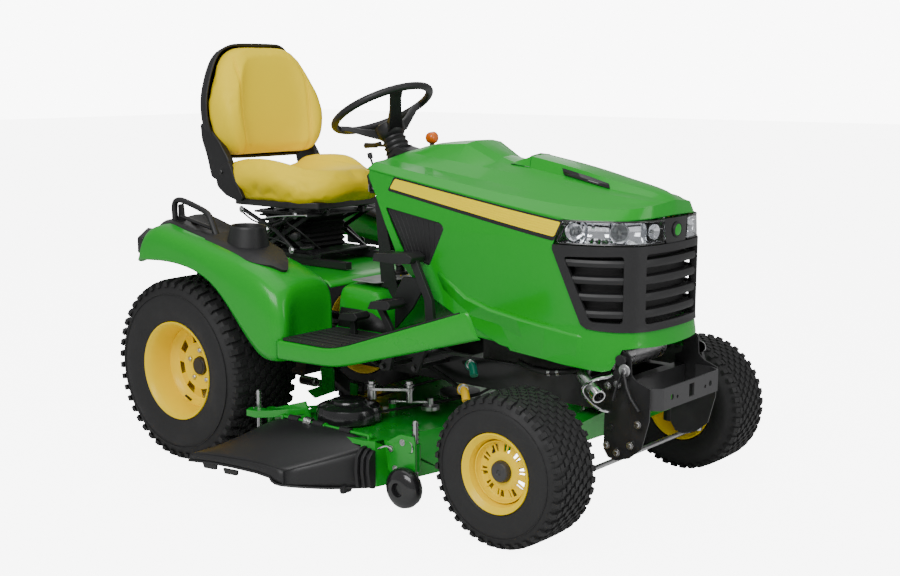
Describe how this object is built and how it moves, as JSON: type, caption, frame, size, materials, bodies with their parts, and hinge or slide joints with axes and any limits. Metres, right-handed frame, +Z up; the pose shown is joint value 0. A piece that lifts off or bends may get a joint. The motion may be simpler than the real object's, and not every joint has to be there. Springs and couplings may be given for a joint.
{
  "type": "riding lawn mower",
  "caption": "Garden tractor with a sloped hood, a high-backed sprung seat, broad turf tyres and a wide mower deck hung between the axles, with a side discharge chute.",
  "frame": {"origin": "on the ground under the middle of the bounding box", "axes": "+X forward, +Y to the machine's left, +Z up"},
  "size_m": [2.0045, 1.4, 1.4417],
  "materials": {
    "green_body": "glossy",
    "green_paint": "glossy",
    "yellow_paint": "glossy",
    "yellow_vinyl": "satin",
    "black_plastic": "matte",
    "black_steel": "satin",
    "bright_steel": "satin",
    "cast_engine": "matte",
    "tyre_rubber": "matte",
    "mat_rubber": "matte",
    "clear_lens": "glossy",
    "amber_lens": "glossy"
  },
  "bodies": {
    "chassis": {"chassis_frame": "green_paint", "front_side_plates": "black_steel", "front_bumper_bar": "black_steel", "transaxle": "cast_engine", "engine": "cast_engine", "exhaust_pipe": "bright_steel", "fuel_tank": "black_plastic", "fender_deck": "green_body", "fender_trays": "black_plastic", "foot_platform": "green_body", "foot_mats": "mat_rubber", "body_lamps": "amber_lens", "dash_tower": "black_plastic", "dash_cowl": "black_plastic", "seat_rails": "black_steel"},
    "hood": {"hood_shell": "green_body", "nose_grille": "black_plastic", "headlight_lenses": "clear_lens", "side_screens": "black_plastic"},
    "column": {"steering_column": "black_plastic"},
    "steering_wheel": {"steering_wheel": "black_plastic"},
    "tilt_lever": {"tilt_lever": "black_plastic"},
    "throttle_lever": {"throttle_lever": "black_plastic"},
    "pto_knob": {"pto_knob": "black_plastic"},
    "ignition_key": {"ignition_key": "black_plastic"},
    "seat_carriage": {"seat_suspension": "black_steel"},
    "seat": {"seat_pan": "black_steel", "seat_cushion": "yellow_vinyl", "seat_back_cushion": "yellow_vinyl", "seat_back_shell": "black_plastic"},
    "brake_pedal": {"brake_pedal": "black_steel"},
    "forward_pedal": {"forward_pedal": "black_steel"},
    "reverse_pedal": {"reverse_pedal": "black_steel"},
    "height_dial": {"height_dial": "black_plastic"},
    "front_axle": {"front_axle_beam": "green_paint"},
    "knuckle_left": {"steering_knuckle_left": "black_steel"},
    "knuckle_right": {"steering_knuckle_right": "black_steel"},
    "tie_rod": {"tie_rod": "bright_steel"},
    "front_wheel_left": {"front_tyre_left": "tyre_rubber", "front_rim_left": "yellow_paint"},
    "front_wheel_right": {"front_tyre_right": "tyre_rubber", "front_rim_right": "yellow_paint"},
    "rear_wheel_left": {"rear_tyre_left": "tyre_rubber", "rear_rim_left": "yellow_paint"},
    "rear_wheel_right": {"rear_tyre_right": "tyre_rubber", "rear_rim_right": "yellow_paint"},
    "deck": {"deck_shell": "green_paint", "spindle_covers": "black_plastic", "deck_belt": "mat_rubber", "gauge_pins": "bright_steel"},
    "chute": {"discharge_chute": "black_plastic"},
    "blade_right": {"blade_spindle_right": "black_steel"},
    "blade_centre": {"blade_spindle_centre": "black_steel"},
    "blade_left": {"blade_spindle_left": "black_steel"},
    "idler": {"idler_arm": "bright_steel"},
    "gauge_front_right": {"gauge_wheel_front_right": "black_plastic"},
    "gauge_front_left": {"gauge_wheel_front_left": "black_plastic"},
    "gauge_rear_right": {"gauge_wheel_rear_right": "black_plastic"},
    "gauge_rear_left": {"gauge_wheel_rear_left": "black_plastic"},
    "lift_linkage": {"lift_arms": "black_steel"}
  },
  "joints": [
    {"name": "hood_open", "type": "hinge", "parent": "chassis", "child": "hood", "pos_m": [0.885, 0.078, 0.513], "axis": [0, 1, 0], "range_deg": [0, 75]},
    {"name": "column_tilt", "type": "hinge", "parent": "chassis", "child": "column", "pos_m": [-0.11984, 0.078, 0.96597], "axis": [0, 1, 0], "range_deg": [-10, 10]},
    {"name": "steering_wheel_turn", "type": "hinge", "parent": "column", "child": "steering_wheel", "pos_m": [-0.251, 0.078, 1.219], "axis": [-0.4602, 0, 0.8878], "range_deg": [-425, 425]},
    {"name": "tilt_lever_pull", "type": "hinge", "parent": "column", "child": "tilt_lever", "pos_m": [-0.18197, 0.078, 1.08583], "axis": [0, 1, 0], "range_deg": [0, 9]},
    {"name": "throttle_turn", "type": "hinge", "parent": "chassis", "child": "throttle_lever", "pos_m": [-0.119, -0.102, 1.01], "axis": [0, 1, 0], "range_deg": [-25, 25]},
    {"name": "pto_pull", "type": "slide", "parent": "chassis", "child": "pto_knob", "axis": [0, 1, 0], "range_m": [0, 0.012]},
    {"name": "key_turn", "type": "hinge", "parent": "chassis", "child": "ignition_key", "pos_m": [-0.131, -0.102, 0.962], "axis": [0, 1, 0], "range_deg": [0, 60]},
    {"name": "seat_travel", "type": "slide", "parent": "chassis", "child": "seat_carriage", "axis": [1, 0, 0], "range_m": [-0.05, 0.06]},
    {"name": "seat_tip", "type": "hinge", "parent": "seat_carriage", "child": "seat", "pos_m": [-0.444, 0.078, 0.858], "axis": [0, 1, 0], "range_deg": [0, 35]},
    {"name": "brake_press", "type": "hinge", "parent": "chassis", "child": "brake_pedal", "pos_m": [0.191, -0.26, 0.412], "axis": [0, 1, 0], "range_deg": [0, 12], "stiffness_Nm_per_rad": 40, "springref_deg": -5.73},
    {"name": "forward_press", "type": "hinge", "parent": "chassis", "child": "forward_pedal", "pos_m": [0.096, -0.302, 0.412], "axis": [0, 1, 0], "range_deg": [-8, 10], "stiffness_Nm_per_rad": 60},
    {"name": "reverse_press", "type": "hinge", "parent": "chassis", "child": "reverse_pedal", "pos_m": [-0.074, -0.302, 0.412], "axis": [0, 1, 0], "range_deg": [-10, 8], "stiffness_Nm_per_rad": 60},
    {"name": "height_dial_turn", "type": "hinge", "parent": "chassis", "child": "height_dial", "pos_m": [-0.119, 0.019, 0.645], "axis": [0, 0, 1], "range_deg": [-135, 135]},
    {"name": "axle_pivot", "type": "hinge", "parent": "chassis", "child": "front_axle", "pos_m": [0.721, 0.078, 0.27], "axis": [1, 0, 0], "range_deg": [-5, 5]},
    {"name": "left_steer", "type": "hinge", "parent": "front_axle", "child": "knuckle_left", "pos_m": [0.721, 0.453, 0.226], "axis": [0, 0, 1], "range_deg": [-35, 35]},
    {"name": "right_steer", "type": "hinge", "parent": "front_axle", "child": "knuckle_right", "pos_m": [0.721, -0.297, 0.226], "axis": [0, 0, 1], "range_deg": [-35, 35]},
    {"name": "tie_rod_turn", "type": "hinge", "parent": "knuckle_left", "child": "tie_rod", "pos_m": [0.821, 0.453, 0.178], "axis": [0, 0, 1], "range_deg": [-35, 35]},
    {"name": "front_wheel_left_spin", "type": "hinge", "parent": "knuckle_left", "child": "front_wheel_left", "pos_m": [0.721, 0.595, 0.226], "axis": [0, 1, 0], "continuous": true},
    {"name": "front_wheel_right_spin", "type": "hinge", "parent": "knuckle_right", "child": "front_wheel_right", "pos_m": [0.721, -0.439, 0.226], "axis": [0, 1, 0], "continuous": true},
    {"name": "rear_wheel_left_spin", "type": "hinge", "parent": "chassis", "child": "rear_wheel_left", "pos_m": [-0.679, 0.547, 0.323], "axis": [0, 1, 0], "continuous": true},
    {"name": "rear_wheel_right_spin", "type": "hinge", "parent": "chassis", "child": "rear_wheel_right", "pos_m": [-0.679, -0.391, 0.323], "axis": [0, 1, 0], "continuous": true},
    {"name": "deck_lift", "type": "slide", "parent": "chassis", "child": "deck", "axis": [0, 0, 1], "range_m": [0, 0.07]},
    {"name": "chute_raise", "type": "hinge", "parent": "deck", "child": "chute", "pos_m": [0.011, -0.494, 0.238], "axis": [-1, 0, 0], "range_deg": [0, 80]},
    {"name": "blade_right_spin", "type": "hinge", "parent": "deck", "child": "blade_right", "pos_m": [-0.007, -0.327, 0.11], "axis": [0, 0, 1], "continuous": true},
    {"name": "blade_centre_spin", "type": "hinge", "parent": "deck", "child": "blade_centre", "pos_m": [0.101, 0.078, 0.11], "axis": [0, 0, 1], "continuous": true},
    {"name": "blade_left_spin", "type": "hinge", "parent": "deck", "child": "blade_left", "pos_m": [-0.007, 0.483, 0.11], "axis": [0, 0, 1], "continuous": true},
    {"name": "idler_swing", "type": "hinge", "parent": "deck", "child": "idler", "pos_m": [0.056, -0.222, 0.272], "axis": [0, 0, -1], "range_deg": [0, 8], "stiffness_Nm_per_rad": 5},
    {"name": "gauge_front_right_spin", "type": "hinge", "parent": "deck", "child": "gauge_front_right", "pos_m": [0.356, -0.497, 0.105], "axis": [0, 1, 0], "continuous": true},
    {"name": "gauge_front_left_spin", "type": "hinge", "parent": "deck", "child": "gauge_front_left", "pos_m": [0.356, 0.653, 0.105], "axis": [0, 1, 0], "continuous": true},
    {"name": "gauge_rear_right_spin", "type": "hinge", "parent": "deck", "child": "gauge_rear_right", "pos_m": [-0.287, -0.467, 0.105], "axis": [0, 1, 0], "continuous": true},
    {"name": "gauge_rear_left_spin", "type": "hinge", "parent": "deck", "child": "gauge_rear_left", "pos_m": [-0.287, 0.623, 0.105], "axis": [0, 1, 0], "continuous": true},
    {"name": "lift_arm_turn", "type": "hinge", "parent": "chassis", "child": "lift_linkage", "pos_m": [-0.347, 0.078, 0.318], "axis": [0, -1, 0], "range_deg": [0, 28]}
  ],
  "couplings": [
    {"joint": "steering_wheel_turn", "follows": "left_steer", "ratio": 12},
    {"joint": "right_steer", "follows": "left_steer", "ratio": 1},
    {"joint": "tie_rod_turn", "follows": "left_steer", "ratio": -1},
    {"joint": "reverse_press", "follows": "forward_press", "ratio": -1},
    {"joint": "blade_right_spin", "follows": "blade_centre_spin", "ratio": 1},
    {"joint": "blade_left_spin", "follows": "blade_centre_spin", "ratio": 1},
    {"joint": "lift_arm_turn", "follows": "deck_lift", "rad_per_m": 6.43}
  ]
}
